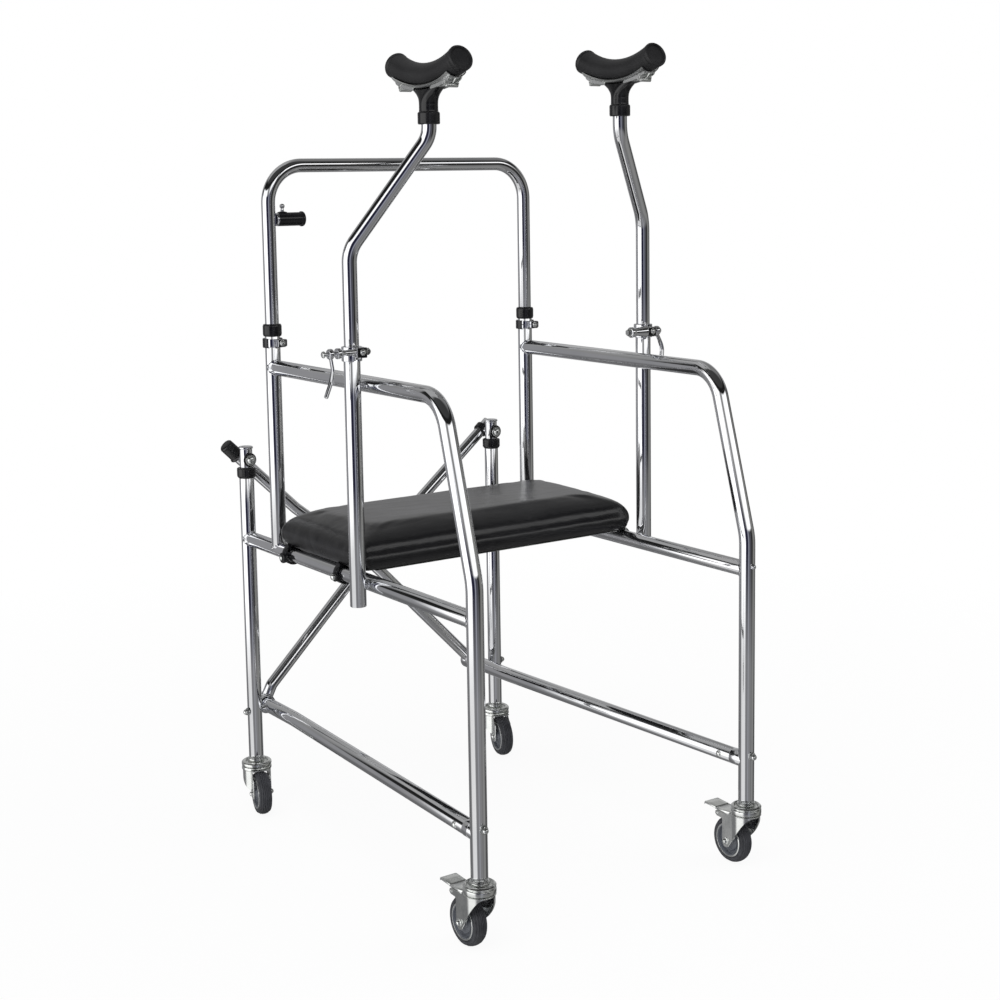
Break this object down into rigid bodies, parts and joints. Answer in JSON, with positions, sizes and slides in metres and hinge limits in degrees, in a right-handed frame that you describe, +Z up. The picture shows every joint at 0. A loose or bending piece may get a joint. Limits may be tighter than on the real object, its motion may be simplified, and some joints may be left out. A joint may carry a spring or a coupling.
{
  "type": "folding walker",
  "caption": "Folding walker of bright tube with underarm supports, a flip-up padded seat, an upper hoop, crossed folding braces and swivel casters.",
  "frame": {"origin": "on the floor, under the middle of the whole walker seen from above", "axes": "+Z up; +Y the way the walker rolls, towards the folding gear; +X to the user's right"},
  "size_m": [0.6502, 0.7923, 1.3077],
  "materials": {
    "chrome_tube": "bright mirror chrome on steel tube",
    "zinc_plate": "bright zinc plate, slightly dull",
    "black_plastic": "black, half gloss",
    "vinyl": "black upholstery vinyl with a fine grain, half gloss",
    "pad_foam": "black moulded foam skin, matt",
    "tyre_rubber": "slate grey rubber, matt",
    "hub_plastic": "mid grey, matt"
  },
  "bodies": {
    "left_frame": {"left_side_frame": "chrome_tube", "left_lower_rail": "chrome_tube", "left_rail_bolt_front": "zinc_plate", "left_rail_bolt_rear": "zinc_plate", "left_post_collar": "black_plastic", "left_post_clamp": "black_plastic", "left_leg_collar": "black_plastic", "left_quick_clamp": "zinc_plate", "left_rear_caster_mount": "zinc_plate", "left_front_caster_mount": "zinc_plate"},
    "right_frame": {"right_side_frame": "chrome_tube", "right_lower_rail": "chrome_tube", "right_rail_bolt_front": "zinc_plate", "right_rail_bolt_rear": "zinc_plate", "right_post_collar": "black_plastic", "right_post_clamp": "black_plastic", "right_leg_collar": "black_plastic", "right_quick_clamp": "zinc_plate", "right_rear_caster_mount": "zinc_plate", "right_front_caster_mount": "zinc_plate"},
    "brace_a": {"brace_a": "chrome_tube", "brace_centre_bolt": "zinc_plate", "brace_end_boot": "black_plastic"},
    "brace_b": {"brace_b": "chrome_tube", "brace_hand_grip": "black_plastic"},
    "seat": {"seat_board": "black_plastic", "seat_cushion": "vinyl"},
    "hoop": {"hoop": "chrome_tube", "hoop_grip": "black_plastic"},
    "pull_pin": {"grip_pull_pin": "chrome_tube"},
    "left_head": {"left_slide_head": "chrome_tube"},
    "left_support": {"left_underarm_tube": "chrome_tube", "left_pad_holder": "black_plastic", "left_pad_cradle": "zinc_plate", "left_underarm_pad": "pad_foam"},
    "left_lever": {"left_clamp_lever": "chrome_tube"},
    "left_rear_fork": {"left_rear_caster_fork": "zinc_plate"},
    "left_rear_wheel": {"left_rear_caster_hub": "hub_plastic", "left_rear_caster_tyre": "tyre_rubber"},
    "left_front_fork": {"left_front_caster_fork": "zinc_plate"},
    "left_front_wheel": {"left_front_caster_hub": "hub_plastic", "left_front_caster_tyre": "tyre_rubber"},
    "left_pedal": {"left_rear_caster_brake_pedal": "zinc_plate"},
    "right_head": {"right_slide_head": "chrome_tube"},
    "right_support": {"right_underarm_tube": "chrome_tube", "right_pad_holder": "black_plastic", "right_pad_cradle": "zinc_plate", "right_underarm_pad": "pad_foam"},
    "right_lever": {"right_clamp_lever": "chrome_tube"},
    "right_rear_fork": {"right_rear_caster_fork": "zinc_plate"},
    "right_rear_wheel": {"right_rear_caster_hub": "hub_plastic", "right_rear_caster_tyre": "tyre_rubber"},
    "right_front_fork": {"right_front_caster_fork": "zinc_plate"},
    "right_front_wheel": {"right_front_caster_hub": "hub_plastic", "right_front_caster_tyre": "tyre_rubber"},
    "right_pedal": {"right_rear_caster_brake_pedal": "zinc_plate"}
  },
  "joints": [
    {"name": "fold", "type": "hinge", "parent": "left_frame", "child": "brace_a", "pos_m": [-0.202, 0.369, 0.178], "axis": [0, -1, 0], "range_deg": [0, 32]},
    {"name": "brace_cross", "type": "hinge", "parent": "brace_a", "child": "brace_b", "pos_m": [0.0215, 0.369, 0.4045], "axis": [0, -1, 0], "range_deg": [-64, 0]},
    {"name": "right_rail_hinge", "type": "hinge", "parent": "brace_b", "child": "right_frame", "pos_m": [0.245, 0.369, 0.178], "axis": [0, -1, 0], "range_deg": [0, 32]},
    {"name": "right_head_pivot", "type": "hinge", "parent": "brace_a", "child": "right_head", "pos_m": [0.2785, 0.369, 0.6285], "axis": [0, -1, 0], "range_deg": [-32, 0]},
    {"name": "left_head_pivot", "type": "hinge", "parent": "brace_b", "child": "left_head", "pos_m": [-0.2355, 0.369, 0.6285], "axis": [0, -1, 0], "range_deg": [0, 32]},
    {"name": "seat_flip", "type": "hinge", "parent": "left_frame", "child": "seat", "pos_m": [-0.2355, 0.06, 0.489], "axis": [0, -1, 0], "range_deg": [0, 72]},
    {"name": "hoop_height", "type": "slide", "parent": "left_frame", "child": "hoop", "axis": [0, 0, 1], "range_m": [0, 0.08]},
    {"name": "grip_pin_pull", "type": "slide", "parent": "hoop", "child": "pull_pin", "axis": [0, 0, 1], "range_m": [0, 0.006]},
    {"name": "left_support_height", "type": "slide", "parent": "left_frame", "child": "left_support", "axis": [0, 0, 1], "range_m": [-0.08, 0.06]},
    {"name": "left_clamp_lever_turn", "type": "hinge", "parent": "left_frame", "child": "left_lever", "pos_m": [-0.311, -0.1125, 0.85], "axis": [-1, 0, 0], "range_deg": [0, 90]},
    {"name": "left_rear_caster_swivel", "type": "hinge", "parent": "left_frame", "child": "left_rear_fork", "pos_m": [-0.2355, -0.373, 0.0902], "axis": [0, 0, 1], "continuous": true},
    {"name": "left_rear_wheel_spin", "type": "hinge", "parent": "left_rear_fork", "child": "left_rear_wheel", "pos_m": [-0.2355, -0.342, 0.0375], "axis": [-1, 0, 0], "continuous": true},
    {"name": "left_brake_pedal_press", "type": "hinge", "parent": "left_rear_fork", "child": "left_pedal", "pos_m": [-0.2355, -0.322, 0.0785], "axis": [-1, 0, 0], "range_deg": [0, 8]},
    {"name": "left_front_caster_swivel", "type": "hinge", "parent": "left_frame", "child": "left_front_fork", "pos_m": [-0.2355, 0.338, 0.0792], "axis": [0, 0, 1], "continuous": true},
    {"name": "left_front_wheel_spin", "type": "hinge", "parent": "left_front_fork", "child": "left_front_wheel", "pos_m": [-0.24247, 0.30779, 0.0375], "axis": [0.9744, -0.225, 0], "continuous": true},
    {"name": "right_support_height", "type": "slide", "parent": "right_frame", "child": "right_support", "axis": [0, 0, 1], "range_m": [-0.08, 0.06]},
    {"name": "right_clamp_lever_turn", "type": "hinge", "parent": "right_frame", "child": "right_lever", "pos_m": [0.312, -0.1125, 0.8465], "axis": [-1, 0, 0], "range_deg": [0, 60]},
    {"name": "right_rear_caster_swivel", "type": "hinge", "parent": "right_frame", "child": "right_rear_fork", "pos_m": [0.2785, -0.373, 0.0902], "axis": [0, 0, 1], "continuous": true},
    {"name": "right_rear_wheel_spin", "type": "hinge", "parent": "right_rear_fork", "child": "right_rear_wheel", "pos_m": [0.2785, -0.342, 0.0375], "axis": [-1, 0, 0], "continuous": true},
    {"name": "right_brake_pedal_press", "type": "hinge", "parent": "right_rear_fork", "child": "right_pedal", "pos_m": [0.2785, -0.322, 0.0785], "axis": [-1, 0, 0], "range_deg": [0, 8]},
    {"name": "right_front_caster_swivel", "type": "hinge", "parent": "right_frame", "child": "right_front_fork", "pos_m": [0.2785, 0.338, 0.0792], "axis": [0, 0, 1], "continuous": true},
    {"name": "right_front_wheel_spin", "type": "hinge", "parent": "right_front_fork", "child": "right_front_wheel", "pos_m": [0.27153, 0.30779, 0.0375], "axis": [0.9744, -0.225, 0], "continuous": true}
  ],
  "couplings": [
    {"joint": "brace_cross", "follows": "fold", "ratio": -2},
    {"joint": "right_rail_hinge", "follows": "fold", "ratio": 1},
    {"joint": "right_head_pivot", "follows": "fold", "ratio": -1},
    {"joint": "left_head_pivot", "follows": "fold", "ratio": 1}
  ]
}
